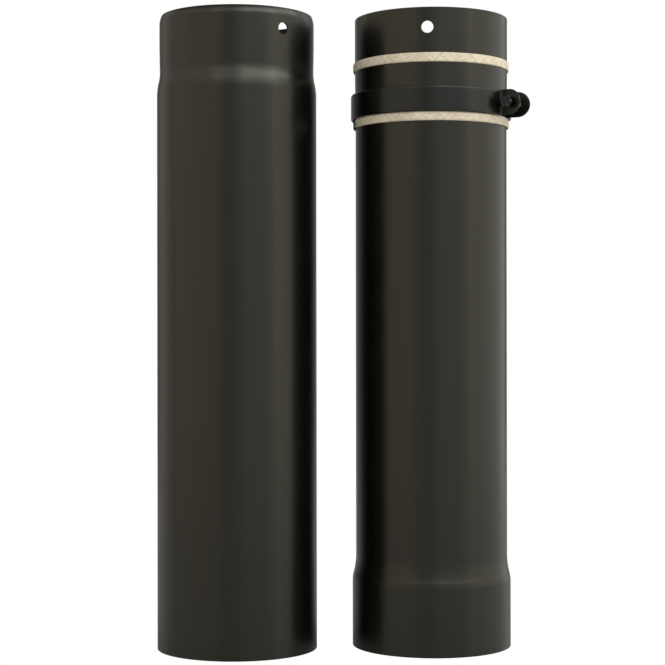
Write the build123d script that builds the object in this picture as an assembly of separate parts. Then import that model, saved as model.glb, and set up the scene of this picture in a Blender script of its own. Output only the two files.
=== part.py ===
from build123d import *
from math import cos, radians, sin, sqrt, tan
import os

# Adjustable flue pipe, in millimetres, +Z up.
# The inner section stands on its socket at the origin and carries two rope seals and a strap clamp.
# The outer section, the sleeve that goes over it, is drawn off and stands beside it.

# The flue that both sections belong to
flue_bore = 150.0               # inside diameter of the sleeve and of the stove socket
sheet = 2.0                     # steel wall of both tubes
hanging_hole = 11.5             # diameter of the hole that each section hangs by while it is coated

# Outer section: a sleeve that is swaged down to a spigot
outer_length = 609.0
spigot_length = 53.5            # rim to the top of the shoulder
spigot_clearance = 0.4          # spigot to the bore of the next pipe, on each side
spigot_neck = 0.5               # how much the spigot narrows just above the shoulder
neck_height = 22.5              # height over which the neck opens out again
outer_shoulder = 23.0           # height of the S-shaped step
outer_step_turn = 0.57          # share of that height, from below, where the S turns over
rim_roll = 1.8                  # how far the spigot's rim is rolled in
rim_roll_height = 8.0
outer_hole_drop = 20.0          # rim to the centre of the hole
outer_hole_turn = 39.0          # degrees round from the front, towards +X

# Inner section: a stove socket below, a slide end above
inner_length = 609.0
socket_depth = 63.5
inner_shoulder = 24.5           # height of the S-shaped step
inner_step_turn = 0.27          # share of that height, from below, where the S turns over
body_clearance = 1.4            # body to the sleeve's bore, on each side
slide_end_clearance = 0.8       # slide end to the sleeve's bore, on each side
slide_end_length = 57.0         # rim to the foot of the widened slide end
slide_end_taper = 36.0          # height over which the body opens out to the slide end
inner_hole_drop = 18.7
inner_hole_turn = -5.8

# Rope seals: flat braided tape bedded in cement round the slide end
rope_width = 8.4
rope_squeeze = 0.8              # how far the sleeve's bore presses the rope in
rope_bed = 0.1                  # cement under the rope
upper_rope_drop = 42.6          # rim to the rope's upper edge
lower_rope_drop = 97.6

# Strap clamp: one bent strip, open, resting on the lower rope
band_width = 24.5
band_sheet = 2.0
band_clearance = 0.3            # open band to the ropes, on each side
band_lap = 0.5                  # how far the band's lower edge laps the lower rope
band_edge_break = 0.5           # broken corner of the strip's outer edges
lug_splay = 7.7                 # degrees from the middle of the gap to each lug, which points straight out
lug_reach = 20.9                # band's outer face to the lug's tip
lug_bend = 2.5                  # inside radius of the bend from band to lug
lug_turn = -27.0                # degrees from +X, towards the front

# Clamp bolt and nut
thread = 6.0
hexagon = 10.0                  # across the flats of the head and of the nut
head_height = 4.0
nut_height = 5.0
bolt_tail = 4.0                 # thread past the nut
head_stand_off = 4.0            # how far the loose bolt is drawn forward, its head clear of the lug
tip_chamfer = 0.8
bolt_hole_clearance = 0.3       # shank to the lug's hole, on each side
nut_clearance = 0.05            # shank to the nut's bore, on each side
seat_clearance = 0.05           # head or nut to the lug, where its outermost corner meets the sloping face

# How the two sections stand
standing_gap = 35.5             # between the two tubes
standing_turn = 4.42            # degrees by which the outer section stands forward

bore_radius = flue_bore / 2
tube_radius = bore_radius + sheet
spigot_radius = bore_radius - spigot_clearance
body_radius = bore_radius - body_clearance
slide_end_radius = bore_radius - slide_end_clearance
rope_radius = bore_radius + rope_squeeze

band_bottom = inner_length - lower_rope_drop - band_lap
band_inner = rope_radius + band_clearance
band_outer = band_inner + band_sheet
splay = radians(lug_splay)
bolt_reach = band_outer + lug_reach - band_width / 2
bolt_out = bolt_reach * cos(splay)
lug_face = (bolt_out + hexagon / sqrt(3)) * tan(splay) + band_sheet / 2 / cos(splay)


def inner_radius_at(drop):
    """Outside radius of the inner section at a distance below its rim, above the socket."""
    share = (drop - slide_end_length) / slide_end_taper
    return slide_end_radius - (slide_end_radius - body_radius) * min(max(share, 0.0), 1.0)


def step_between(low, high, turn):
    """Two arcs that make the S-shaped step of a swaged tube, upright at both ends."""
    low = Vector(low)
    high = Vector(high)
    lower = TangentArc(low, low + (high - low) * turn, tangent=(0, 1))
    upper = TangentArc(lower @ 1, high, tangent=lower % 1)
    return [lower, upper]


def sheet_tube(outside):
    """Revolve an outside line into a tube of sheet."""
    inside = Pos(X=-sheet) * outside
    foot = Line(outside @ 0, inside @ 0)
    rim = Line(outside @ 1, inside @ 1)
    wall = make_face(outside.edges() + inside.edges() + [foot, rim])
    return revolve(Plane.XZ * wall, Axis.Z)


def radial_hole(height, turn):
    """A drill that goes through one side of a tube, at an angle from the front towards +X."""
    outward = (sin(radians(turn)), -cos(radians(turn)), 0)
    drill = Cylinder(hanging_hole / 2, 2 * tube_radius, align=(Align.CENTER, Align.CENTER, Align.MIN))
    return Plane(origin=(0, 0, height), z_dir=outward) * drill


def outer_section():
    shoulder_top = outer_length - spigot_length
    shoulder_foot = shoulder_top - outer_shoulder
    neck_radius = spigot_radius - spigot_neck
    neck_top = shoulder_top + neck_height
    roll_foot = outer_length - rim_roll_height
    body = Line((tube_radius, 0), (tube_radius, shoulder_foot))
    shoulder = step_between(body @ 1, (neck_radius, shoulder_top), outer_step_turn)
    neck = Line(shoulder[-1] @ 1, (spigot_radius, neck_top))
    spigot = Line(neck @ 1, (spigot_radius, roll_foot))
    roll = TangentArc(spigot @ 1, (spigot_radius - rim_roll, outer_length), tangent=(0, 1))
    tube = sheet_tube(Wire([body, *shoulder, neck, spigot, roll]))
    return tube - radial_hole(outer_length - outer_hole_drop, outer_hole_turn)


def inner_section():
    shoulder_top = socket_depth + inner_shoulder
    taper_top = inner_length - slide_end_length
    taper_foot = taper_top - slide_end_taper
    socket = Line((tube_radius, 0), (tube_radius, socket_depth))
    shoulder = step_between(socket @ 1, (body_radius, shoulder_top), inner_step_turn)
    body = Line(shoulder[-1] @ 1, (body_radius, taper_foot))
    taper = Line(body @ 1, (slide_end_radius, taper_top))
    slide_end = Line(taper @ 1, (slide_end_radius, inner_length))
    tube = sheet_tube(Wire([socket, *shoulder, body, taper, slide_end]))
    return tube - radial_hole(inner_length - inner_hole_drop, inner_hole_turn)


def rope_seal(top_drop):
    """A closed ring of flat tape, bedded on the inner section."""
    foot_drop = top_drop + rope_width
    top = inner_length - top_drop
    foot = inner_length - foot_drop
    section = make_face(Polyline(
        (inner_radius_at(foot_drop) + rope_bed, foot),
        (rope_radius, foot),
        (rope_radius, top),
        (inner_radius_at(top_drop) + rope_bed, top),
        close=True,
    ))
    return revolve(Plane.XZ * section, Axis.Z)


def strap_plan():
    """Plan of the strip: a split ring whose two ends bend out, either side of +X, into lugs."""
    half_sheet = band_sheet / 2
    lug_start = band_outer - half_sheet
    lug = Rectangle(band_outer + lug_reach - lug_start, band_sheet, align=(Align.MIN, Align.CENTER))
    lug_lines = {side: Rot(Z=side * lug_splay) for side in (-1, 1)}
    far_corners = [(line * Pos(2 * band_outer, -side * half_sheet)).position for side, line in lug_lines.items()]
    mouth = make_face(Polyline((half_sheet / sin(splay), 0), *far_corners, close=True))
    plan = Circle(band_outer) - Circle(band_inner) - mouth
    for line in lug_lines.values():
        plan += line * Pos(lug_start) * lug
    for side, line in lug_lines.items():
        hollow = line * Pos(sqrt(band_outer**2 - half_sheet**2), side * half_sheet)
        plan = fillet(plan.vertices().sort_by_distance(hollow.position)[0], lug_bend)
        ridge = line * Pos(sqrt(band_inner**2 - half_sheet**2), -side * half_sheet)
        plan = fillet(plan.vertices().sort_by_distance(ridge.position)[0], lug_bend + band_sheet)
    return plan


def clamp_band():
    strip = extrude(strap_plan(), band_width)
    corners = Rectangle(band_width, 2 * band_width, align=(Align.MIN, Align.CENTER)) - Circle(band_width / 2)
    trim = Pos(bolt_reach, 0, band_width / 2) * extrude(Plane.XZ * corners, band_width / 2, both=True)
    for side in (-1, 1):
        strip -= Rot(Z=side * lug_splay) * trim
    bolt_hole = Cylinder(thread / 2 + bolt_hole_clearance, 4 * lug_face)
    strip -= Pos(bolt_out, 0, band_width / 2) * Rot(X=90) * bolt_hole
    long_edges = strip.edges().filter_by(GeomType.CIRCLE).filter_by(Plane.XY)
    outer_edges = [edge for edge in long_edges if edge.radius > band_outer - band_sheet / 2]
    strip = chamfer(outer_edges, min(band_edge_break, band_sheet / 3))
    return Rot(Z=lug_turn) * Pos(Z=band_bottom) * strip


def on_bolt_axis(along, piece):
    """Place a piece made along +Z on the bolt's axis, its base at a distance behind the lugs' middle."""
    at_bolt = Pos(bolt_out, along, band_bottom + band_width / 2)
    return Rot(Z=lug_turn) * at_bolt * Rot(X=-90) * piece


def hexagon_prism(height):
    return extrude(RegularPolygon(hexagon / 2, 6, major_radius=False), height)


def clamp_bolt():
    head_seat = lug_face + seat_clearance + head_stand_off
    length = head_seat + lug_face + seat_clearance + nut_height + bolt_tail
    shank = Cylinder(thread / 2, length, align=(Align.CENTER, Align.CENTER, Align.MIN))
    tip = shank.edges().filter_by(GeomType.CIRCLE).group_by(Axis.Z)[-1]
    bolt = chamfer(tip, tip_chamfer) + Pos(Z=-head_height) * hexagon_prism(head_height)
    return on_bolt_axis(-head_seat, bolt)


def clamp_nut():
    bore = Cylinder(thread / 2 + nut_clearance, 4 * nut_height)
    return on_bolt_axis(lug_face + seat_clearance, hexagon_prism(nut_height) - bore)


apart = 2 * tube_radius + standing_gap
beside = Pos(-apart * cos(radians(standing_turn)), -apart * sin(radians(standing_turn)))

pieces = {
    "outer_section": beside * outer_section(),
    "inner_section": inner_section(),
    "upper_rope_seal": rope_seal(upper_rope_drop),
    "lower_rope_seal": rope_seal(lower_rope_drop),
    "clamp_band": clamp_band(),
    "clamp_bolt": clamp_bolt(),
    "clamp_nut": clamp_nut(),
}

os.makedirs("parts", exist_ok=True)
for name, piece in pieces.items():
    export_step(piece, f"parts/{name}.step")
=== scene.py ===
# %% [markdown]
# An adjustable flue pipe, drawn apart: a plain outer section on the left, and on the right the inner
# section with its two rope seals and its strap clamp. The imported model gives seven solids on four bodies,
# in metres, with +Z up. Each piece below is modelled where its solid stands and takes that solid's place,
# so nothing has to be fitted by eye. The box of the solids is kept first, because the dressed pipe has to
# keep to it.

# %% Load the frame
import random
from math import atan2, cos, pi, radians, sin, sqrt, tan

import bmesh
import bpy
from mathutils import Matrix, Vector


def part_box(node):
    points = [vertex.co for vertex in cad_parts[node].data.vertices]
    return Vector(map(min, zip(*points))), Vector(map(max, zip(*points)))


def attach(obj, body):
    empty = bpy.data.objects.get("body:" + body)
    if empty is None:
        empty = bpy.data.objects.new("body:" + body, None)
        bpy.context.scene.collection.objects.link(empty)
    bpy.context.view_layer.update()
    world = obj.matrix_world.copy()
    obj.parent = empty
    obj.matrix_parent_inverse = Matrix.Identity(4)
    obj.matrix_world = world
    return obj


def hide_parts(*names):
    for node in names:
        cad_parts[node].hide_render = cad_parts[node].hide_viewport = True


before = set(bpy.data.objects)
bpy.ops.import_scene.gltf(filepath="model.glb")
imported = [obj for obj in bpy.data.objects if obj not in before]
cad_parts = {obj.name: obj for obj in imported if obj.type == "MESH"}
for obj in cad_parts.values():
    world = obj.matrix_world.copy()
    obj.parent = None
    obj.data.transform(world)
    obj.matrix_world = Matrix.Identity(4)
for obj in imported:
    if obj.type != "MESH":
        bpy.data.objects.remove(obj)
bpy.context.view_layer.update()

mm = 0.001
up = Vector((0, 0, 1))
scene = bpy.context.scene

# %% [markdown]
# The camera comes first, because everything is compared through it. The two pipes look almost square on,
# with the top rims seen from below and the feet from above, so the lens stands level with the middle of the
# pipes, about eleven pipe widths away. A longer lens from further off would flatten the rims' curves. A
# camera can also be aimed by a constraint, but three small turns say more plainly how nearly level it
# stands.

# %% Camera
camera_place = Vector((-98.8, -1686.4, 301.2)) * mm
camera_yaw = -0.0014            # these three turns, in radians, are about a tenth of a degree each
camera_pitch = 0.0019
camera_roll = -0.0013
picture_width = 36.0            # mm, as on film
focal_length = 93.38            # mm

camera_data = bpy.data.cameras.new("camera")
camera_data.sensor_width = picture_width
camera_data.lens = focal_length
camera = bpy.data.objects.new("camera", camera_data)
camera.matrix_world = (
    Matrix.Translation(camera_place)
    @ Matrix.Rotation(camera_yaw, 4, "Z")
    @ Matrix.Rotation(pi / 2 + camera_pitch, 4, "X")
    @ Matrix.Rotation(camera_roll, 4, "Z")
)
scene.collection.objects.link(camera)
scene.camera = camera
print("camera at", [round(v, 3) for v in camera_place], "lens", camera_data.lens)

# %% [markdown]
# Two helpers serve every finish. A colour is chosen as it looks on a screen, as a hex value, and shaders
# work in linear light, so one function converts it. The other adds one node with its settings and its
# links, which keeps each finish readable as a list of what feeds what. Sockets are found by name, except on
# the mixing nodes, where the two that are mixed can't be told apart by it, so their places are named here.

# %% Helpers for finishes
first_colour = 6                # sockets of a Mix node that mixes colours
second_colour = 7
mixed_colour = 2
first_shader = 1                # sockets of a Mix Shader node
second_shader = 2


def linear(hex_colour):
    """A screen colour such as #d6ccb0 as linear red, green, blue and alpha."""
    parts = [int(hex_colour[i:i + 2], 16) / 255 for i in (1, 3, 5)]
    return [p / 12.92 if p <= 0.04045 else ((p + 0.055) / 1.055) ** 2.4 for p in parts] + [1.0]


def add_node(tree, kind, inputs=None, **settings):
    """Add one node, set its options, and fill or link its inputs."""
    node = tree.nodes.new(kind)
    for name, value in settings.items():
        setattr(node, name, value)
    for socket, value in (inputs or {}).items():
        if isinstance(value, bpy.types.NodeSocket):
            tree.links.new(value, node.inputs[socket])
        else:
            node.inputs[socket].default_value = value
    return node


def new_finish(name):
    """An empty node material and its tree."""
    material = bpy.data.materials.new(name)
    material.use_nodes = True
    material.node_tree.nodes.clear()
    return material, material.node_tree


def per_metre(size_in_mm):
    """Noise scale that gives marks of about this size."""
    return 1.0 / (size_in_mm * mm)


print("a half grey on the screen is", round(linear("#808080")[0], 3), "in linear light")

# %% [markdown]
# The pipes are sprayed with heat-resisting silicone paint, a satin black that is baked hard in the first
# fire. Almost no light comes back from its pigment, so the eye sees the room in the clear binder: a soft,
# slightly olive sheen of about four percent that rises towards the tube's sides. One plain glossy black
# would do from far off, but a fine spray grain breaks the real sheen. That grain is about 0.2 mm, too fine
# for this picture, so it is drawn at 0.9 mm, and slow clouds of 45 mm change the roughness a little, as
# overlapping passes of the gun do.

# %% Finish: satin stove paint
stove_paint, tree = new_finish("satin silicone stove paint, sprayed on sheet steel")
place = add_node(tree, "ShaderNodeTexCoord").outputs["Object"]
clouds = add_node(tree, "ShaderNodeTexNoise", {
    "Vector": place, "Scale": per_metre(45), "Detail": 3.0, "Roughness": 0.55})
grain = add_node(tree, "ShaderNodeTexNoise", {
    "Vector": place, "Scale": per_metre(0.9), "Detail": 2.0, "Roughness": 0.6})
pigment = add_node(tree, "ShaderNodeMix", {
    "Factor": clouds.outputs["Fac"], first_colour: linear("#030303"), second_colour: linear("#050504")},
    data_type="RGBA")
gloss = add_node(tree, "ShaderNodeMapRange", {
    "Value": clouds.outputs["Fac"], "From Min": 0.3, "From Max": 0.7, "To Min": 0.28, "To Max": 0.32})
spray = add_node(tree, "ShaderNodeBump", {
    "Height": grain.outputs["Fac"], "Strength": 0.12, "Distance": 0.02 * mm})
paint = add_node(tree, "ShaderNodeBsdfPrincipled", {
    "Base Color": pigment.outputs[mixed_colour], "Roughness": gloss.outputs["Result"],
    "Normal": spray.outputs["Normal"], "IOR": 1.5, "Specular Tint": linear("#fffbe2")})
add_node(tree, "ShaderNodeOutputMaterial", {"Surface": paint.outputs["BSDF"]})
print("finish:", stove_paint.name)

# %% [markdown]
# Inside, the gun only reaches in from the ends, so the coat is thin, dry and dull. The outer paint could be
# used here too, but then the bores would mirror the lamps. So it is the same paint with more scatter:
# rougher, a little greyer, and blotchy over about 25 mm.

# %% Finish: dry overspray inside the tubes
dry_overspray, tree = new_finish("dry overspray of stove paint on rolled steel")
place = add_node(tree, "ShaderNodeTexCoord").outputs["Object"]
blotches = add_node(tree, "ShaderNodeTexNoise", {
    "Vector": place, "Scale": per_metre(25), "Detail": 4.0, "Roughness": 0.6})
dust = add_node(tree, "ShaderNodeTexNoise", {
    "Vector": place, "Scale": per_metre(1.2), "Detail": 2.0, "Roughness": 0.6})
coat = add_node(tree, "ShaderNodeMix", {
    "Factor": blotches.outputs["Fac"], first_colour: linear("#121211"), second_colour: linear("#1b1a18")},
    data_type="RGBA")
dull = add_node(tree, "ShaderNodeMapRange", {
    "Value": blotches.outputs["Fac"], "From Min": 0.3, "From Max": 0.7, "To Min": 0.52, "To Max": 0.68})
rough = add_node(tree, "ShaderNodeBump", {
    "Height": dust.outputs["Fac"], "Strength": 0.25, "Distance": 0.04 * mm})
inside = add_node(tree, "ShaderNodeBsdfPrincipled", {
    "Base Color": coat.outputs[mixed_colour], "Roughness": dull.outputs["Result"],
    "Normal": rough.outputs["Normal"], "IOR": 1.5})
add_node(tree, "ShaderNodeOutputMaterial", {"Surface": inside.outputs["BSDF"]})
print("finish:", dry_overspray.name)

# %% [markdown]
# The strap is coated before it is put on, with a thinner and smoother film. It gives back about a fifth
# less light than the pipe, and its black is more neutral than the pipe's olive one. A darker pigment
# wouldn't show that, because nearly all the light comes from the film's surface, so the surface's own
# reflection is turned down.

# %% Finish: strap paint
strap_paint, tree = new_finish("neutral black stoving enamel on strip steel")
place = add_node(tree, "ShaderNodeTexCoord").outputs["Object"]
film = add_node(tree, "ShaderNodeTexNoise", {
    "Vector": place, "Scale": per_metre(1.1), "Detail": 2.0, "Roughness": 0.5})
patches = add_node(tree, "ShaderNodeTexNoise", {
    "Vector": place, "Scale": per_metre(18), "Detail": 2.0, "Roughness": 0.5})
enamel = add_node(tree, "ShaderNodeMix", {
    "Factor": patches.outputs["Fac"], first_colour: linear("#030303"), second_colour: linear("#050505")},
    data_type="RGBA")
flow = add_node(tree, "ShaderNodeMapRange", {
    "Value": patches.outputs["Fac"], "From Min": 0.3, "From Max": 0.7, "To Min": 0.27, "To Max": 0.33})
ripple = add_node(tree, "ShaderNodeBump", {
    "Height": film.outputs["Fac"], "Strength": 0.1, "Distance": 0.02 * mm})
strap_coat = add_node(tree, "ShaderNodeBsdfPrincipled", {
    "Base Color": enamel.outputs[mixed_colour], "Roughness": flow.outputs["Result"],
    "Normal": ripple.outputs["Normal"], "IOR": 1.5, "Specular IOR Level": 0.40,
    "Specular Tint": linear("#fffff0")})
add_node(tree, "ShaderNodeOutputMaterial", {"Surface": strap_coat.outputs["BSDF"]})
print("finish:", strap_paint.name)

# %% [markdown]
# The bolt and the nut are blackened steel: an iron oxide grown on the metal in a hot bath and oiled. The
# oxide is nearly black and still metallic, and its roughness drifts over a few millimetres with the oil.
# Spanners and hands have rubbed the corners and the thread's crests bare, and those glint. Wear can be
# found from a mesh's curvature, but here the mesh knows its own corners, so it carries a value named worn
# that lets the grey steel through.

# %% Finish: blackened steel
blackened_steel, tree = new_finish("oiled black oxide on bolt steel")
place = add_node(tree, "ShaderNodeTexCoord").outputs["Object"]
oil = add_node(tree, "ShaderNodeTexNoise", {
    "Vector": place, "Scale": per_metre(3), "Detail": 3.0, "Roughness": 0.6})
oxide = add_node(tree, "ShaderNodeMix", {
    "Factor": oil.outputs["Fac"], first_colour: linear("#222223"), second_colour: linear("#3a3a39")},
    data_type="RGBA")
wet = add_node(tree, "ShaderNodeMapRange", {
    "Value": oil.outputs["Fac"], "From Min": 0.3, "From Max": 0.7, "To Min": 0.28, "To Max": 0.42})
worn_share = add_node(tree, "ShaderNodeAttribute", attribute_name="worn").outputs["Fac"]
handled_steel = add_node(tree, "ShaderNodeMix", {
    "Factor": worn_share, first_colour: oxide.outputs[mixed_colour], second_colour: linear("#918f8a")},
    data_type="RGBA")
bolt_steel = add_node(tree, "ShaderNodeBsdfPrincipled", {
    "Base Color": handled_steel.outputs[mixed_colour], "Roughness": wet.outputs["Result"], "Metallic": 1.0})
add_node(tree, "ShaderNodeOutputMaterial", {"Surface": bolt_steel.outputs["BSDF"]})
print("finish:", blackened_steel.name)

# %% [markdown]
# The seals are flat braided tape of glass-fibre yarn, cream from its spinning oil. Each yarn is a bundle of
# fine filaments, and that is what makes it look soft. A weave pattern laid over the whole ring would run
# straight across the yarns, so the mesh carries three values for this finish: where a point lies along and
# across its own yarn, so that the filaments run with it, how light that yarn is, and how much black it
# holds, soaked in or rubbed off, with painted shade near the bolt on the lower tape.

# %% Finish: braided glass tape
glass_rope, tree = new_finish("braided glass-fibre yarn, natural cream")
way = add_node(tree, "ShaderNodeAttribute", attribute_name="yarn_way").outputs["Vector"]
# the value cement holds black cement, rubbed-off black and, near the bolt on the lower tape, painted shade
black = add_node(tree, "ShaderNodeAttribute", attribute_name="cement").outputs["Fac"]
shade = add_node(tree, "ShaderNodeAttribute", attribute_name="yarn_shade").outputs["Fac"]
place = add_node(tree, "ShaderNodeTexCoord").outputs["Object"]
drawn_out = add_node(tree, "ShaderNodeMapping", {"Vector": way, "Scale": (0.5, 6.0, 1.0)})
filaments = add_node(tree, "ShaderNodeTexNoise", {
    "Vector": drawn_out.outputs["Vector"], "Scale": 1.0, "Detail": 3.0, "Roughness": 0.6})
soiling = add_node(tree, "ShaderNodeTexNoise", {
    "Vector": place, "Scale": per_metre(9), "Detail": 3.0, "Roughness": 0.6})
yarn_colour = add_node(tree, "ShaderNodeMix", {
    "Factor": shade, first_colour: linear("#cebe9d"), second_colour: linear("#e7dac3")}, data_type="RGBA")
soiled = add_node(tree, "ShaderNodeMapRange", {
    "Value": soiling.outputs["Fac"], "From Min": 0.45, "From Max": 0.75, "To Min": 0.0, "To Max": 0.35})
aged = add_node(tree, "ShaderNodeMix", {
    "Factor": soiled.outputs["Result"], first_colour: yarn_colour.outputs[mixed_colour],
    second_colour: linear("#bfae92")}, data_type="RGBA")
# darkens the yarns by the value cement: real black, plus painted shade near the bolt
black_and_painted_shade = add_node(tree, "ShaderNodeMix", {
    "Factor": black, first_colour: aged.outputs[mixed_colour], second_colour: linear("#151412")},
    data_type="RGBA")
strands = add_node(tree, "ShaderNodeBump", {
    "Height": filaments.outputs["Fac"], "Strength": 0.5, "Distance": 0.12 * mm})
yarn = add_node(tree, "ShaderNodeBsdfPrincipled", {
    "Base Color": black_and_painted_shade.outputs[mixed_colour], "Roughness": 0.78, "Normal": strands.outputs["Normal"],
    "IOR": 1.5, "Specular IOR Level": 0.3, "Sheen Weight": 0.2, "Sheen Roughness": 0.5})
add_node(tree, "ShaderNodeOutputMaterial", {"Surface": yarn.outputs["BSDF"]})
print("finish:", glass_rope.name)

# %% [markdown]
# Every piece ends the same way: its doubled points are merged, its faces are turned outwards, and the mesh
# goes into an object at the origin that rides on its body and stands for its solid. A piece that is still
# an open sheet must have its faces right before it gets a wall, or the wall would grow outwards. The wall
# and its broken edges could be modelled too, but two modifiers do it for every sheet in the same way.

# %% Helpers for pieces
same_point = 0.001 * mm         # points nearer to each other than this are one
weld = 0.01 * mm                # the strap's halves and the thread's turns are joined within this
cut_edge = radians(50)          # edges of a sheet that turn by more than this are cut ones


def finish_piece(name, bm, finishes, body, node):
    """Turn a bmesh into a smooth piece that rides on a body and replaces a solid."""
    bmesh.ops.remove_doubles(bm, verts=bm.verts[:], dist=same_point)
    bmesh.ops.recalc_face_normals(bm, faces=bm.faces[:])
    mesh = bpy.data.meshes.new(name)
    bm.to_mesh(mesh)
    bm.free()
    mesh.shade_smooth()
    for finish in finishes:
        mesh.materials.append(finish)
    piece = bpy.data.objects.new(name, mesh)
    scene.collection.objects.link(piece)
    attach(piece, body)
    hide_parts(node)
    print("piece:", name, len(mesh.polygons), "faces")
    return piece


def break_edges(piece, width, sharpest):
    """Bevel the edges where two faces turn by more than an angle."""
    edges = piece.modifiers.new("edges", "BEVEL")
    edges.width = width
    edges.segments = 2
    edges.profile = 0.5
    edges.limit_method = "ANGLE"
    edges.angle_limit = sharpest
    edges.harden_normals = True


def give_wall(piece, thickness, edge_break, inner_finish=0):
    """Thicken a sheet inwards, then break its cut edges."""
    wall = piece.modifiers.new("wall", "SOLIDIFY")
    wall.thickness = thickness
    wall.offset = -1.0
    wall.use_even_offset = True
    wall.material_offset = inner_finish
    break_edges(piece, edge_break, cut_edge)


# %% [markdown]
# A section of pipe is rolled and welded sheet, then swaged on a mandrel. Loops could be pushed in and out
# on a cylinder, but it is easier to draw the outside line once, round its corners, and spin it about the
# axis. Only the outer skin is spun, because a Solidify modifier then gives both the wall and the rims. A
# swaged step is an S of two arcs, and two corners whose roundings nearly meet give the same curve.

# %% Helper: a swaged tube
sheet = 2 * mm
edge_break = 0.4 * mm
round_steps = 256               # faces round a tube
rounding_steps = 12             # faces along one rounded corner
rounding_share = 0.98           # the two roundings of a step stop just short of each other
patch_rows = 8                  # rows of faces that give way to the hanging hole
patch_columns = 4               # columns of such faces on each side of the hole
patch_half_height = 8 * mm


def step_corners(low_radius, low_height, high_radius, high_height, turn_share):
    """The two corners of an S-shaped step, with the roundings that make it of two arcs."""
    rise = high_height - low_height
    tangents = (rise**2 + (high_radius - low_radius)**2) / (2 * rise)
    low_round = tangents * turn_share
    high_round = tangents - low_round
    return [
        (low_radius, low_height + low_round, rounding_share * low_round),
        (high_radius, high_height - high_round, rounding_share * high_round),
    ]


def towards(turn):
    """Level direction at an angle from the front, towards +X."""
    return Vector((sin(turn), -cos(turn), 0))


def spun_tube(axis, outline, hole_height, outward):
    """Spin corners of (radius, height, rounding), starting where the hole will be."""
    bm = bmesh.new()
    corners = [bm.verts.new(axis + outward * radius + up * height) for radius, height, _ in outline]
    for pair in zip(corners, corners[1:]):
        bm.edges.new(pair)
    for corner, (_, _, rounding) in zip(corners, outline):
        if rounding:
            bmesh.ops.bevel(bm, geom=[corner], offset=rounding, offset_type="OFFSET",
                            segments=rounding_steps, profile=0.5, affect="VERTICES", material=-1)
    hole_edge = min(bm.edges, key=lambda edge: abs(sum(v.co.z for v in edge.verts) / 2 - hole_height))
    bmesh.ops.subdivide_edges(bm, edges=[hole_edge], cuts=patch_rows - 1)
    bmesh.ops.spin(bm, geom=bm.verts[:] + bm.edges[:], cent=axis, axis=up, angle=2 * pi, steps=round_steps,
                   use_merge=True)
    print("tube:", len(outline), "corners spun into", len(bm.faces), "faces")
    return bm


# %% [markdown]
# Each section hangs by one round hole while it is sprayed. A Boolean would cut it, but that leaves slivers
# that catch the light on such a smooth surface. The spin started at the hole's own angle, so the grid of
# faces lies square round it: a patch of eight by eight faces comes out, and a circle laid on the curved
# skin is bridged to the patch's border.

# %% Helper: a hanging hole
hole_radius = 5.75 * mm


def cut_hole(bm, axis, skin_radius, hole_height, outward):
    """Swap a patch of a tube's faces for a ring of faces round a hole."""
    sideways = up.cross(outward)
    reach = 2 * pi / round_steps * patch_columns
    patch = []
    for face in bm.faces:
        middle = face.calc_center_median() - axis
        turn = abs(atan2(middle.dot(sideways), middle.dot(outward)))
        if turn < reach and abs(middle.z - hole_height) < patch_half_height:
            patch.append(face)
    taken = set(patch)
    border = [edge for edge in bm.edges if sum(face in taken for face in edge.link_faces) == 1]
    bmesh.ops.delete(bm, geom=patch, context="FACES")

    centre = axis + outward * skin_radius + up * hole_height
    facing = Matrix((sideways, up, outward)).transposed().to_4x4()
    ring = bmesh.ops.create_circle(bm, radius=hole_radius, segments=len(border),
                                   matrix=Matrix.Translation(centre) @ facing)["verts"]
    for vert in ring:
        across = (vert.co - axis).dot(sideways)
        vert.co += outward * (sqrt(skin_radius**2 - across**2) - skin_radius)
    ring_edges = [edge for edge in bm.edges if edge.is_wire]
    bmesh.ops.bridge_loops(bm, edges=border + ring_edges)
    print("hole:", len(ring), "points,", round(2 * hole_radius / mm, 1), "mm across")


# %% [markdown]
# The outer section is a plain sleeve, 154 mm across, that narrows in an S-shaped step to a spigot. The
# spigot is pinched a little above the step and its rim is rolled in, so that it finds its way into the next
# pipe. A straight spigot would be simpler to draw, but those small changes show as a soft light line on the
# step and as a slightly hollow outline above it. Heights are taken down from the rim, where the real one is
# measured.

# %% Outer section
outer_low, outer_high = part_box("outer_section")
outer_axis = Vector(((outer_low.x + outer_high.x) / 2, (outer_low.y + outer_high.y) / 2, 0))
section_length = 609 * mm       # both sections
wide_radius = 77 * mm           # outside of the sleeve, and of the other section's socket
spigot_radius = 74.6 * mm
pinch_radius = 74.1 * mm
rim_radius = 72.8 * mm
rim_rounding = 4.1 * mm
outer_step_top = section_length - 53.5 * mm
outer_step_foot = outer_step_top - 23 * mm
pinch_end = outer_step_top + 22.5 * mm
roll_corner = section_length - 3.8 * mm
outer_hole_height = section_length - 20 * mm
outer_hole_side = towards(radians(39))

outer_outline = [
    (wide_radius, 0.0, 0.0),
    *step_corners(wide_radius, outer_step_foot, pinch_radius, outer_step_top, turn_share=0.57),
    (spigot_radius, pinch_end, 0.0),
    (spigot_radius, outer_hole_height - patch_half_height, 0.0),
    (spigot_radius, outer_hole_height + patch_half_height, 0.0),
    (spigot_radius, roll_corner, rim_rounding),
    (rim_radius, section_length, 0.0),
]
bm = spun_tube(outer_axis, outer_outline, outer_hole_height, outer_hole_side)
cut_hole(bm, outer_axis, spigot_radius, outer_hole_height, outer_hole_side)
outer_tube = finish_piece("outer_tube", bm, [stove_paint, dry_overspray], "flue_sections", "outer_section")
give_wall(outer_tube, sheet, edge_break, inner_finish=1)

# %% [markdown]
# The inner section has the wide end at its foot: a socket that drops over the stove's spigot. Its body is a
# little narrower than the sleeve's bore, and it opens out again to the slide end that carries the ropes.
# That taper is only 0.6 mm and a straight tube would look much the same, but one rope lies above it and one
# below it.

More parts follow.
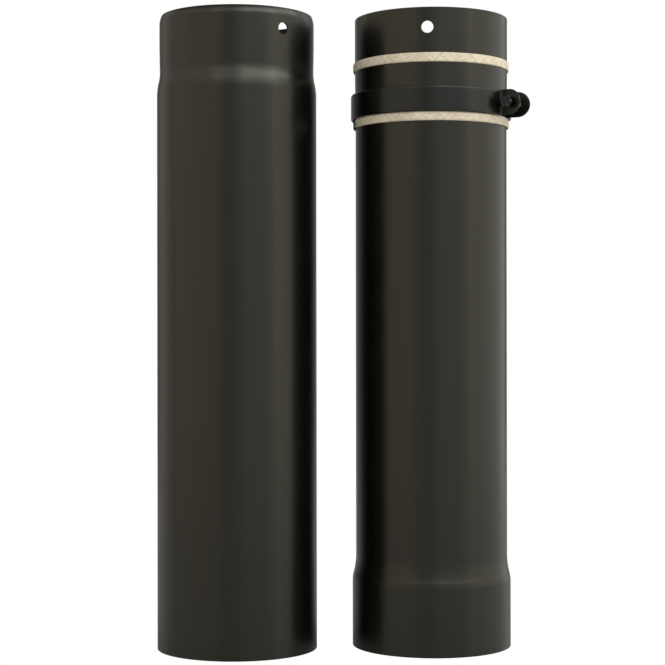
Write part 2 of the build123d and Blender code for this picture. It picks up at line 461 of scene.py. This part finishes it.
# %% Inner section
inner_axis = Vector((0, 0, 0))
body_radius = 73.6 * mm
slide_end_radius = 74.2 * mm
socket_depth = 63.5 * mm
inner_step_top = socket_depth + 24.5 * mm
slide_end_foot = section_length - 57 * mm
taper_foot = slide_end_foot - 36 * mm
inner_hole_height = section_length - 18.7 * mm
inner_hole_side = towards(radians(-5.8))

inner_outline = [
    (wide_radius, 0.0, 0.0),
    *step_corners(wide_radius, socket_depth, body_radius, inner_step_top, turn_share=0.27),
    (body_radius, taper_foot, 0.0),
    (slide_end_radius, slide_end_foot, 0.0),
    (slide_end_radius, inner_hole_height - patch_half_height, 0.0),
    (slide_end_radius, inner_hole_height + patch_half_height, 0.0),
    (slide_end_radius, section_length, 0.0),
]
bm = spun_tube(inner_axis, inner_outline, inner_hole_height, inner_hole_side)
cut_hole(bm, inner_axis, slide_end_radius, inner_hole_height, inner_hole_side)
inner_tube = finish_piece("inner_tube", bm, [stove_paint, dry_overspray], "flue_sections", "inner_section")
give_wall(inner_tube, sheet, edge_break, inner_finish=1)

# %% [markdown]
# The tape of a rope seal is a plain braid: two families of yarns cross at right angles, one over, one
# under, and all of them turn in at the tape's edges. A bump could draw that on a plain ring, but the ring's
# edges and the exported mesh would stay smooth, so the yarns are real. One yarn is a small grid of faces,
# and it is repeated along the whole ring. It is laid out flat first, where the over-and-under is a simple
# wave, and then wrapped round the pipe. The real yarn is about 1 mm wide. Here it is nearly 2 mm, as coarse
# as it has to be to show.

# %% Helper: the yarns of a tape
yarns_round = 170               # yarns of each family round the ring
yarn_steps = 18                 # faces along one yarn
yarn_fill = 0.94                # share of its lane that a yarn fills
yarn_slip = 0.06                # how far a yarn strays from its lane, as a share of the spacing
yarn_apart = 3.7                # sets a yarn's filaments apart from its neighbour's
crown = 0.20 * mm               # how far a yarn's middle stands above its edges
lift = 0.13 * mm                # how far it rises over a crossing
edge_turn = 1.3 * mm            # how far from the tape's edge the yarns turn in
edge_depth = 0.9                # how deep they turn in, as a share of that


def lay_yarns(bm, crest_radius, middle_height, width, seed):
    """Wrap two families of yarns round a ring, each over and under the other."""
    way = bm.verts.layers.float_vector["yarn_way"]
    shade = bm.verts.layers.float["yarn_shade"]
    draw = random.Random(seed)
    spacing = 2 * pi * crest_radius / yarns_round
    half_yarn = spacing / sqrt(8) * yarn_fill
    crossings = 2 * width / spacing
    for lean in (-1, 1):
        for index in range(yarns_round):
            grid = bmesh.ops.create_grid(bm, x_segments=yarn_steps, y_segments=2, size=0.5)["verts"]
            tone = draw.random()
            slip = draw.uniform(-yarn_slip, yarn_slip) * spacing
            for vert in grid:
                along, across = vert.co.x, 2 * vert.co.y
                height = along * width - across * half_yarn * lean / sqrt(2)
                height = min(max(height, -width / 2), width / 2)
                round_way = index * spacing + slip + lean * along * width + across * half_yarn / sqrt(2)
                over = lean * cos(pi * (along + 0.5) * crossings)
                rise = lift * (over - 1) - crown * across * across
                inset = max(0.0, edge_turn - (width / 2 - abs(height))) / edge_turn
                turn_in = edge_turn * (1 - sqrt(max(0.0, 1 - inset * inset)))
                radius = crest_radius + rise - turn_in * edge_depth
                turn = round_way / crest_radius
                vert.co = towards(turn) * radius + up * (middle_height + height)
                vert[way] = (along * width * sqrt(2) / mm, across * half_yarn / mm, index * yarn_apart)
                vert[shade] = tone
    yarn_width = round(2 * half_yarn / mm, 2)
    print("yarns:", 2 * yarns_round, "of", yarn_width, "mm, each with", round(crossings, 1), "crossings")


# %% [markdown]
# Under the yarns lies the tape's core, a plain ring, so that no steel shows through the gaps. It is a small
# rectangle spun about the axis, hidden well inside the edges. The soft tape sags a little below its bed, so
# the ring is made that much wider than its solid.

# %% Helper: a ring of braided tape
sag = 0.35 * mm                 # how far the soft tape sags below its bed
core_margin = 0.1               # share of the width that the core leaves free at each edge
core_gap = 0.05 * mm            # the core stays this far under the lowest yarn
core_steps = 128                # faces round the core


def braided_ring(node, bed_radius, crest_radius, seed):
    """Braid a ring of tape in the box of a rope's solid."""
    low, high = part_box(node)
    low.z -= sag
    width = high.z - low.z
    bm = bmesh.new()
    bm.verts.layers.float_vector.new("yarn_way")
    bm.verts.layers.float.new("yarn_shade")
    # cement holds the black of the joint and of the strap's rub, and painted shade near the bolt
    bm.verts.layers.float.new("cement")

    core_radius = crest_radius - 2 * lift - crown - core_gap
    core_low = low.z + core_margin * width
    core_high = low.z + (1 - core_margin) * width
    corners = [
        (bed_radius, core_low),
        (bed_radius, core_high),
        (core_radius, core_high),
        (core_radius, core_low),
    ]
    section = [bm.verts.new((0, -radius, height)) for radius, height in corners]
    outline = [bm.edges.new(pair) for pair in zip(section, section[1:] + section[:1])]
    bmesh.ops.spin(bm, geom=section + outline, cent=(0, 0, 0), axis=up, angle=2 * pi, steps=core_steps,
                   use_merge=True)
    lay_yarns(bm, crest_radius, (low.z + high.z) / 2, width, seed)
    return bm


# %% [markdown]
# The lower tape is not as clean as the upper one. Its two ends meet at the left under black cement, and the
# loose strap has rubbed a little of its own black off on it all round. Near the bolt the tape is darker
# still: that is painted shade, the shade of the lug and the bolt's head put into the tape's colour. Marks
# like these are often painted by hand. Here each point works its share out from its angle round the pipe,
# with a ragged edge at the cement that follows the yarns.

# %% Helper: black and painted shade on a tape
lug_turn = radians(-27)         # the strap's bolt, from +X towards the front
bolt_side = pi / 2 + lug_turn   # the same, from the front towards +X
painted_shade_falloff = 6               # a higher power draws the painted shade closer to the bolt
ragged_reach = 0.02             # radians
ragged_wave = 9000              # per metre, which repeats every 0.7 mm


def blacken(bm, joint_start, joint_end, rubbed, painted_shade_at_bolt):
    """Set how black each point is: all black at the joint, smeared elsewhere, with painted shade near the
    bolt.
    """
    cement = bm.verts.layers.float["cement"]
    shade = bm.verts.layers.float["yarn_shade"]
    soaked = 0
    for vert in bm.verts:
        turn = atan2(vert.co.x, -vert.co.y)
        ragged = ragged_reach * sin(ragged_wave * vert.co.z) * (1 - vert[shade])
        # painted shade: darker towards the bolt, where the lug and the bolt's head shade the tape
        smear_and_painted_shade = rubbed + painted_shade_at_bolt * max(0.0, cos(turn - bolt_side)) ** painted_shade_falloff
        if joint_start < turn + ragged < joint_end:
            vert[cement] = 1.0
            soaked += 1
        else:
            vert[cement] = smear_and_painted_shade
    print("black:", soaked, "points soaked in cement")


# %% [markdown]
# Both seals are cut from the same tape, and the yarns' crowns stand level all round, because the sleeve's
# bore is what they seal against. Only the beds differ: the upper rope lies on the slide end, the lower one
# on the body, just under the taper. One ring could be copied for the other, but a seed of its own gives
# each its own yarns.

# %% Upper and lower rope seals
crest_radius = 75.95 * mm
bed_gap = 0.05 * mm             # a film of cement between the tube and the tape
joint_start = radians(-100)     # the lower tape's joint, from the front towards +X
joint_end = radians(-78)

bm = braided_ring("upper_rope_seal", slide_end_radius + bed_gap, crest_radius, seed=5)
finish_piece("upper_rope", bm, [glass_rope], "flue_sections", "upper_rope_seal")
bm = braided_ring("lower_rope_seal", body_radius + bed_gap, crest_radius, seed=8)
# the share at the bolt is painted shade of the lug and the bolt's head
blacken(bm, joint_start, joint_end, rubbed=0.08, painted_shade_at_bolt=0.1)
finish_piece("lower_rope", bm, [glass_rope], "flue_sections", "lower_rope_seal")

# %% [markdown]
# The clamp is one strip of steel, a ring that bends out at both ends into lugs. It could be spun and the
# lugs joined on, but the joint would show, so it is modelled the way it is made: cut flat, then bent. The
# blank's length comes from the plan of the outer face: half a ring, a small bend, and a straight stretch to
# the bolt hole.

# %% Strap: lengths along the strip
strap_width = 24.5 * mm
strap_sheet = 2 * mm
ring_radius = 78.1 * mm         # outside of the ring
lug_reach = 20.9 * mm           # outside of the ring to a lug's tip
lug_splay = radians(7.7)        # middle of the gap to a lug, which points straight out from the pipe's axis
lug_bend = 2.5 * mm             # radius of the bend, on the outer face
half_width = strap_width / 2
half_sheet = strap_sheet / 2
bolt_reach = ring_radius + lug_reach - half_width

bend_out = sqrt((ring_radius + lug_bend)**2 - (half_sheet + lug_bend)**2)
bend_turn = atan2(half_sheet + lug_bend, bend_out)
ring_length = ring_radius * (pi - lug_splay - bend_turn)
bend_length = lug_bend * (pi / 2 - bend_turn)
half_length = ring_length + bend_length + bolt_reach - bend_out
print("strap:", round(2 * (half_length + half_width) / mm, 1), "mm of strip")

# %% [markdown]
# First the flat blank, a long strip with a round end and a bolt hole at each end. One end is a circle
# bridged to the hole, with its inner half squared off so that the strip can be extruded from it, step by
# step. Rows of points crowd towards the long edges, where the shears round the steel. Half a blank is
# mirrored into a whole one.

# %% Strap: the flat blank
lug_hole_radius = 3.3 * mm
neck = 5.8 * mm                 # bolt hole's centre to where the plain strip starts
end_steps = 32                  # points round a lug's end
bend_steps = 8
ring_steps = 84                 # on each half of the ring
square_turn = radians(45)       # the end's points up to here, from the strip's line, go to its squared front
slack = 1.001                   # lets the last of them in, whatever the rounding of its angle
crowding = 0.45                 # below 1, rows of points crowd towards the long edges

bm = bmesh.new()
rim = bmesh.ops.create_circle(bm, radius=half_width, segments=end_steps)["verts"]
bmesh.ops.create_circle(bm, radius=lug_hole_radius, segments=end_steps)
bmesh.ops.bridge_loops(bm, edges=bm.edges[:])
for vert in rim:
    share = abs(atan2(vert.co.y, vert.co.x)) / square_turn
    side = 1 if vert.co.y >= 0 else -1
    if share < slack:
        vert.co = (neck, side * half_width * share ** crowding, 0)
    elif share < 2:
        vert.co = (neck * (2 - share), side * half_width, 0)
front = [edge for edge in bm.edges if all(abs(v.co.x - neck) < same_point for v in edge.verts)]
steps = [bolt_reach - bend_out - neck]
steps += [bend_length / bend_steps] * bend_steps
steps += [ring_length / ring_steps] * ring_steps
for step in steps:
    grown = bmesh.ops.extrude_edge_only(bm, edges=front)["geom"]
    bmesh.ops.translate(bm, verts=[g for g in grown if isinstance(g, bmesh.types.BMVert)], vec=(step, 0, 0))
    front = [g for g in grown if isinstance(g, bmesh.types.BMEdge)
             and abs(g.verts[0].co.x - g.verts[1].co.x) < same_point]
bmesh.ops.translate(bm, verts=bm.verts[:], vec=(-half_length, 0, 0))
bmesh.ops.mirror(bm, geom=bm.verts[:] + bm.edges[:] + bm.faces[:], merge_dist=weld, axis="X")
print("blank:", len(bm.faces), "faces")

# %% [markdown]
# Then every point of the blank is laid along the plan of the finished strap. A Curve modifier could bend
# it, but the plan is three simple stretches, so a function finds the point at any distance along it. The
# shears draw the long edges of the strip in a little. That hardly changes the outline, but it gives the top
# edge the thin line of light that sets the black strap off from the black pipe. Solidify gives the 2 mm,
# inwards, from the outer face.

# %% Strap: bent to its plan
strap_low, strap_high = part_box("clamp_band")
strap_middle = (strap_low.z + strap_high.z) / 2
edge_roll = 0.35 * mm           # how far the shears draw the long edges in
roll_width = 1.6 * mm
strap_edge_break = 0.9 * mm


def strap_plan(way):
    """Point on the strap's outer face at a distance from the middle of its back."""
    side = -1 if way < 0 else 1
    far = abs(way)
    if far <= ring_length:
        turn = pi - far / ring_radius
        return Vector((ring_radius * cos(turn), side * ring_radius * sin(turn), 0))
    heading = min(bend_turn - pi / 2 + (far - ring_length) / lug_bend, 0.0)
    straight = max(far - ring_length - bend_length, 0.0)
    along = bend_out + lug_bend * sin(heading) + straight
    aside = half_sheet + lug_bend * (1 - cos(heading))
    return Matrix.Rotation(side * lug_splay, 4, "Z") @ Vector((along, side * aside, 0))


at_lugs = Matrix.Rotation(lug_turn, 4, "Z") @ Matrix.Translation((0, 0, strap_middle))
for vert in bm.verts:
    way, height = vert.co.x, vert.co.y
    drawn = max(abs(height) - half_width + roll_width, 0.0) / roll_width
    on_ring = min(max(ring_length - abs(way), 0.0) / roll_width, 1.0)
    outside = strap_plan(way) * (1 - edge_roll * drawn * on_ring / ring_radius)
    vert.co = at_lugs @ (outside + Vector((0, 0, height)))
strap = finish_piece("strap", bm, [strap_paint], "clamp", "clamp_band")
give_wall(strap, strap_sheet, strap_edge_break)

# %% [markdown]
# The bolt's head and the nut are forged hexagons, and the lathe takes their corners off with a cone, which
# leaves the curved edges that every nut has. A six-sided cylinder with a bevel would round them evenly
# instead. So a hexagon is a loop of 48 points pushed out to its flats, and each end is lowered where a
# point lies outside the cone. The same distance says how worn a point is. Both pieces are then stacks of
# such loops, bridged one to the next along the bolt's axis.

# %% Helpers: loops along the bolt's axis
flat_to_axis = 5 * mm
corner_to_axis = flat_to_axis / cos(pi / 6)
cone_radius = 0.95 * flat_to_axis
cone_slope = tan(radians(30))
loop_steps = 48


def loop_at(bm, height, radius):
    """A round loop of points."""
    loop = bmesh.ops.create_circle(bm, radius=radius, segments=loop_steps)["verts"]
    bmesh.ops.translate(bm, verts=loop, vec=(0, 0, height))
    return loop


def hexagon_at(bm, height, fall):
    """A six-sided loop of points, lowered at its corners by the cone, and worn there by spanners."""
    worn = bm.verts.layers.float["worn"]
    loop = loop_at(bm, height, flat_to_axis)
    for vert in loop:
        turn = atan2(vert.co.y, vert.co.x) % (pi / 3) - pi / 6
        reach = flat_to_axis / cos(turn)
        vert.co.x *= reach / flat_to_axis
        vert.co.y *= reach / flat_to_axis
        vert.co.z += fall * (reach - cone_radius) * cone_slope
        vert[worn] = (reach - flat_to_axis) / (corner_to_axis - flat_to_axis)
    return loop


def loop_edges(bm, loop):
    """The edges that run round a loop of points."""
    points = set(loop)
    return [edge for edge in bm.edges if points.issuperset(edge.verts)]


def bridge_all(bm, loops):
    """Bridge each loop to the next."""
    for near, far in zip(loops, loops[1:]):
        bmesh.ops.bridge_loops(bm, edges=loop_edges(bm, near) + loop_edges(bm, far))


# %% [markdown]
# The bolt goes through both lugs, with its head to the front. It is still loose and drawn forward, so the
# head stands 4 mm clear of the lug and a little of the shank shows. Its own axis is +Z while it is made,
# with the middle of the gap at zero, and one matrix takes it to its place. The lugs splay, so the seats lie
# where a hexagon's outermost corner would meet a lug.

# %% Bolt: places along its axis
head_height = 4 * mm
nut_height = 5 * mm
bolt_tail = 4 * mm              # thread past the nut
seat_gap = 0.05 * mm
stand_off = 4 * mm              # the loose head's distance from its seat

bolt_out = bolt_reach * cos(lug_splay)
lug_face = (bolt_out + corner_to_axis) * tan(lug_splay) + half_sheet / cos(lug_splay)
seat = lug_face + seat_gap
head_seat = seat + stand_off
bolt_tip = seat + nut_height + bolt_tail
on_bolt = (
    Matrix.Rotation(lug_turn, 4, "Z")
    @ Matrix.Translation((bolt_out, 0, strap_middle))
    @ Matrix.Rotation(-pi / 2, 4, "X")
)
print("bolt:", round((head_seat + bolt_tip) / mm, 1), "mm long under its head")

# %% [markdown]
# The thread could be a bump, but it shows between the lugs, so it is real. One tooth is drawn and spun with
# a lift at each step: after a full turn the tooth's foot meets the next tooth, and merging the doubles
# closes the skin. Two planes then cut the thread to length. The cut inside the head is only closed, and the
# one at the tip is drawn out into a chamfer.

# %% Bolt: the thread
thread_radius = 3 * mm
root_radius = 2.45 * mm
pitch = 1 * mm
thread_steps = 24               # faces round one turn
root_flat = 0.125               # half the flat at the tooth's foot, as a share of the pitch
crest_flat = 0.06               # half the flat on its crest
tip_chamfer = 0.8 * mm
tip_share = 0.76                # width of the tip's end face, as a share of the thread's
into_head = 0.2 * mm            # how far the thread runs on inside the head

bm = bmesh.new()
worn = bm.verts.layers.float.new("worn")
tooth_line = [
    (root_radius, 0.0),
    (root_radius, root_flat),
    (thread_radius, 0.5 - crest_flat),
    (thread_radius, 0.5 + crest_flat),
    (root_radius, 1 - root_flat),
    (root_radius, 1.0),
]
tooth = [bm.verts.new((radius, 0, -head_seat - pitch + share * pitch)) for radius, share in tooth_line]
for vert, (radius, _) in zip(tooth, tooth_line):
    vert[worn] = 1.0 if radius == thread_radius else 0.0
tooth_edges = [bm.edges.new(pair) for pair in zip(tooth, tooth[1:])]
turns = int((bolt_tip + head_seat) / pitch) + 1
bmesh.ops.spin(bm, geom=tooth + tooth_edges, cent=(0, 0, 0), axis=up, dvec=up * pitch / thread_steps,
               angle=2 * pi * turns, steps=thread_steps * turns)
bmesh.ops.remove_doubles(bm, verts=bm.verts[:], dist=weld)

caps = []
for height, direction in ((-head_seat - into_head, -1), (bolt_tip - tip_chamfer, 1)):
    cut = bmesh.ops.bisect_plane(bm, geom=bm.verts[:] + bm.edges[:] + bm.faces[:], dist=same_point,
                                 plane_co=(0, 0, height), plane_no=(0, 0, direction), clear_outer=True)
    border = [g for g in cut["geom_cut"] if isinstance(g, bmesh.types.BMEdge)]
    caps.append(bmesh.ops.contextual_create(bm, geom=border)["faces"])
tip_face = caps[-1]
grown = bmesh.ops.extrude_face_region(bm, geom=tip_face)["geom"]
tip = [g for g in grown if isinstance(g, bmesh.types.BMVert)]
bmesh.ops.delete(bm, geom=tip_face, context="FACES_ONLY")
bmesh.ops.translate(bm, verts=tip, vec=(0, 0, tip_chamfer))
bmesh.ops.scale(bm, verts=tip, vec=(tip_share, tip_share, 1.0))
print("thread:", turns, "turns,", len(bm.faces), "faces")

# %% [markdown]
# The head is a stack of loops from the shank out to the corners, up the flats and in again to a shallow
# dish, as the forging die leaves it. It keeps its own skin instead of being cut into the thread, because
# the join is hidden.

# %% Bolt: the head
under_chamfer = 0.15 * mm       # the head's lower edge is broken by this
dish_depth = 0.12 * mm
dish_radius = 0.55 * flat_to_axis
corner_break = 0.2 * mm
corner_turn = radians(28)       # edges that turn by more than this are broken

head_top = -head_seat - head_height
loops = [
    loop_at(bm, -head_seat, thread_radius),
    loop_at(bm, -head_seat, cone_radius),
    hexagon_at(bm, -head_seat - under_chamfer, 0),
    hexagon_at(bm, head_top, 1),
    loop_at(bm, head_top, cone_radius),
    loop_at(bm, head_top + dish_depth, dish_radius),
]
bridge_all(bm, loops)
for loop in (loops[0], loops[-1]):
    bmesh.ops.contextual_create(bm, geom=loop_edges(bm, loop))
bmesh.ops.transform(bm, matrix=on_bolt, verts=bm.verts[:])
bolt = finish_piece("bolt", bm, [blackened_steel], "bolt", "clamp_bolt")
break_edges(bolt, corner_break, corner_turn)

# %% [markdown]
# The nut sits behind the rear lug and comes along the thread as the bolt turns. It has a cone at both ends
# and a countersunk bore, and its loops close on themselves, from the bore over the outside and back. Its
# bore is left plain, because the bolt fills it.

# %% Nut
bore_radius = 3.05 * mm
countersink = 0.4 * mm

bm = bmesh.new()
bm.verts.layers.float.new("worn")
nut_top = seat + nut_height
loops = [
    loop_at(bm, seat + countersink, bore_radius),
    loop_at(bm, seat, bore_radius + countersink),
    loop_at(bm, seat, cone_radius),
    hexagon_at(bm, seat, 1),
    hexagon_at(bm, nut_top, -1),
    loop_at(bm, nut_top, cone_radius),
    loop_at(bm, nut_top, bore_radius + countersink),
    loop_at(bm, nut_top - countersink, bore_radius),
]
bridge_all(bm, loops + loops[:1])
bmesh.ops.transform(bm, matrix=on_bolt, verts=bm.verts[:])
nut = finish_piece("nut", bm, [blackened_steel], "nut", "clamp_nut")
break_edges(nut, corner_break, corner_turn)

# %% [markdown]
# The pipes stand on a pale satin board without an end. It mirrors the soft boxes and sends light up the
# pipes' feet. For the lens alone, board and surroundings are burnt out to plain white, so no horizon and no
# shadow stays. An overexposed white board would do the same, but it would also send too much light round
# the pipes' edges. So the Light Path node tells the lens's own rays from all others. Tones are left plain,
# without a film curve.

# %% Floor and surroundings
floor_radius = 30.0             # metres, far past the picture
room_light = 0.18               # what the pipes see between the soft boxes

floor_mesh = bpy.data.meshes.new("floor")
bm = bmesh.new()
bmesh.ops.create_circle(bm, cap_ends=True, radius=floor_radius, segments=64)
bm.to_mesh(floor_mesh)
bm.free()
floor = bpy.data.objects.new("floor", floor_mesh)
scene.collection.objects.link(floor)

floor_board, tree = new_finish("satin white studio board")
ray = add_node(tree, "ShaderNodeLightPath")
board = add_node(tree, "ShaderNodeBsdfPrincipled", {"Base Color": linear("#d6d6d4"), "Roughness": 0.25})
burnt_out = add_node(tree, "ShaderNodeEmission", {"Color": linear("#ffffff"), "Strength": 1.0})
seen = add_node(tree, "ShaderNodeMixShader", {
    "Fac": ray.outputs["Is Camera Ray"], first_shader: board.outputs["BSDF"],
    second_shader: burnt_out.outputs["Emission"]})
add_node(tree, "ShaderNodeOutputMaterial", {"Surface": seen.outputs["Shader"]})
floor_mesh.materials.append(floor_board)

world = bpy.data.worlds.new("studio")
scene.world = world
world.use_nodes = True
tree = world.node_tree
tree.nodes.clear()
ray = add_node(tree, "ShaderNodeLightPath")
room = add_node(tree, "ShaderNodeBackground", {"Color": linear("#ffffff"), "Strength": room_light})
white = add_node(tree, "ShaderNodeBackground", {"Color": linear("#ffffff"), "Strength": 1.0})
seen = add_node(tree, "ShaderNodeMixShader", {
    "Fac": ray.outputs["Is Camera Ray"], first_shader: room.outputs["Background"],
    second_shader: white.outputs["Background"]})
add_node(tree, "ShaderNodeOutputWorld", {"Surface": seen.outputs["Shader"]})
scene.view_settings.view_transform = "Standard"
print("floor and surroundings:", floor_radius, "m of board")

# %% [markdown]
# A satin cylinder mirrors its surroundings as soft upright stripes, so the soft boxes decide how the pipes
# look. They stand all round. The weak one behind the camera gives the dim stripe near the middle, those at
# the sides give the brighter flanks, and each pipe mirrors the other as its near-black stripe. A weak box
# at the back is there for the back views. A row of four stands far off and high, where only the swaged
# steps and the rolled rim lean back far enough to mirror it. One dome of light would be less work, but it
# would show none of these stripes.

# %% Soft boxes
look_at = Vector((-0.094, 0.0, 0.3))    # between the pipes, half-way up
high_rise = 34.5                # degrees, and the three below in metres
high_distance = 6.0
high_width = 5.0
high_height = 1.7


def soft_box(name, turn, rise, distance, width, height, brightness, colour):
    """A lamp that faces the pipes. Turn and rise are degrees seen from them, with 0 towards the camera."""
    away = towards(radians(turn)) * cos(radians(rise)) + up * sin(radians(rise))
    lamp = bpy.data.lights.new(name, "AREA")
    lamp.shape = "RECTANGLE"
    lamp.size = width
    lamp.size_y = height
    lamp.energy = brightness * pi * width * height
    lamp.color = linear(colour)[:3]
    box = bpy.data.objects.new(name, lamp)
    box.location = look_at + away * distance
    box.rotation_euler = away.to_track_quat("Z", "Y").to_euler()
    box.visible_camera = False
    scene.collection.objects.link(box)
    print("soft box:", name, round(lamp.energy, 1), "W")


soft_box("far_left_box", -116, 12, 2.2, 1.62, 2.2, 0.44, "#fff0e0")
soft_box("left_box", -59, 14, 2.3, 3.15, 2.2, 0.76, "#fff4e8")
soft_box("camera_box", -10, 12, 2.6, 1.5, 2.2, 0.33, "#ffffff")
soft_box("front_right_box", 33, 12, 2.3, 2.45, 2.0, 0.66, "#fafcff")
soft_box("right_box", 79, 12, 2.2, 2.0, 2.2, 1.05, "#fffcf8")
soft_box("far_right_box", 122, 12, 2.2, 1.56, 2.2, 0.86, "#fffcf8")
soft_box("back_box", 180, 14, 2.6, 2.2, 2.2, 0.28, "#ffffff")
high_row = {
    "high_left_box": (-54, 0.5),
    "high_front_box": (-9, 1.7),
    "high_box": (36, 4.6),
    "high_right_box": (81, 3.4),
}
for name, (turn, brightness) in high_row.items():
    soft_box(name, turn, high_rise, high_distance, high_width, high_height, brightness, "#f0f6ff")
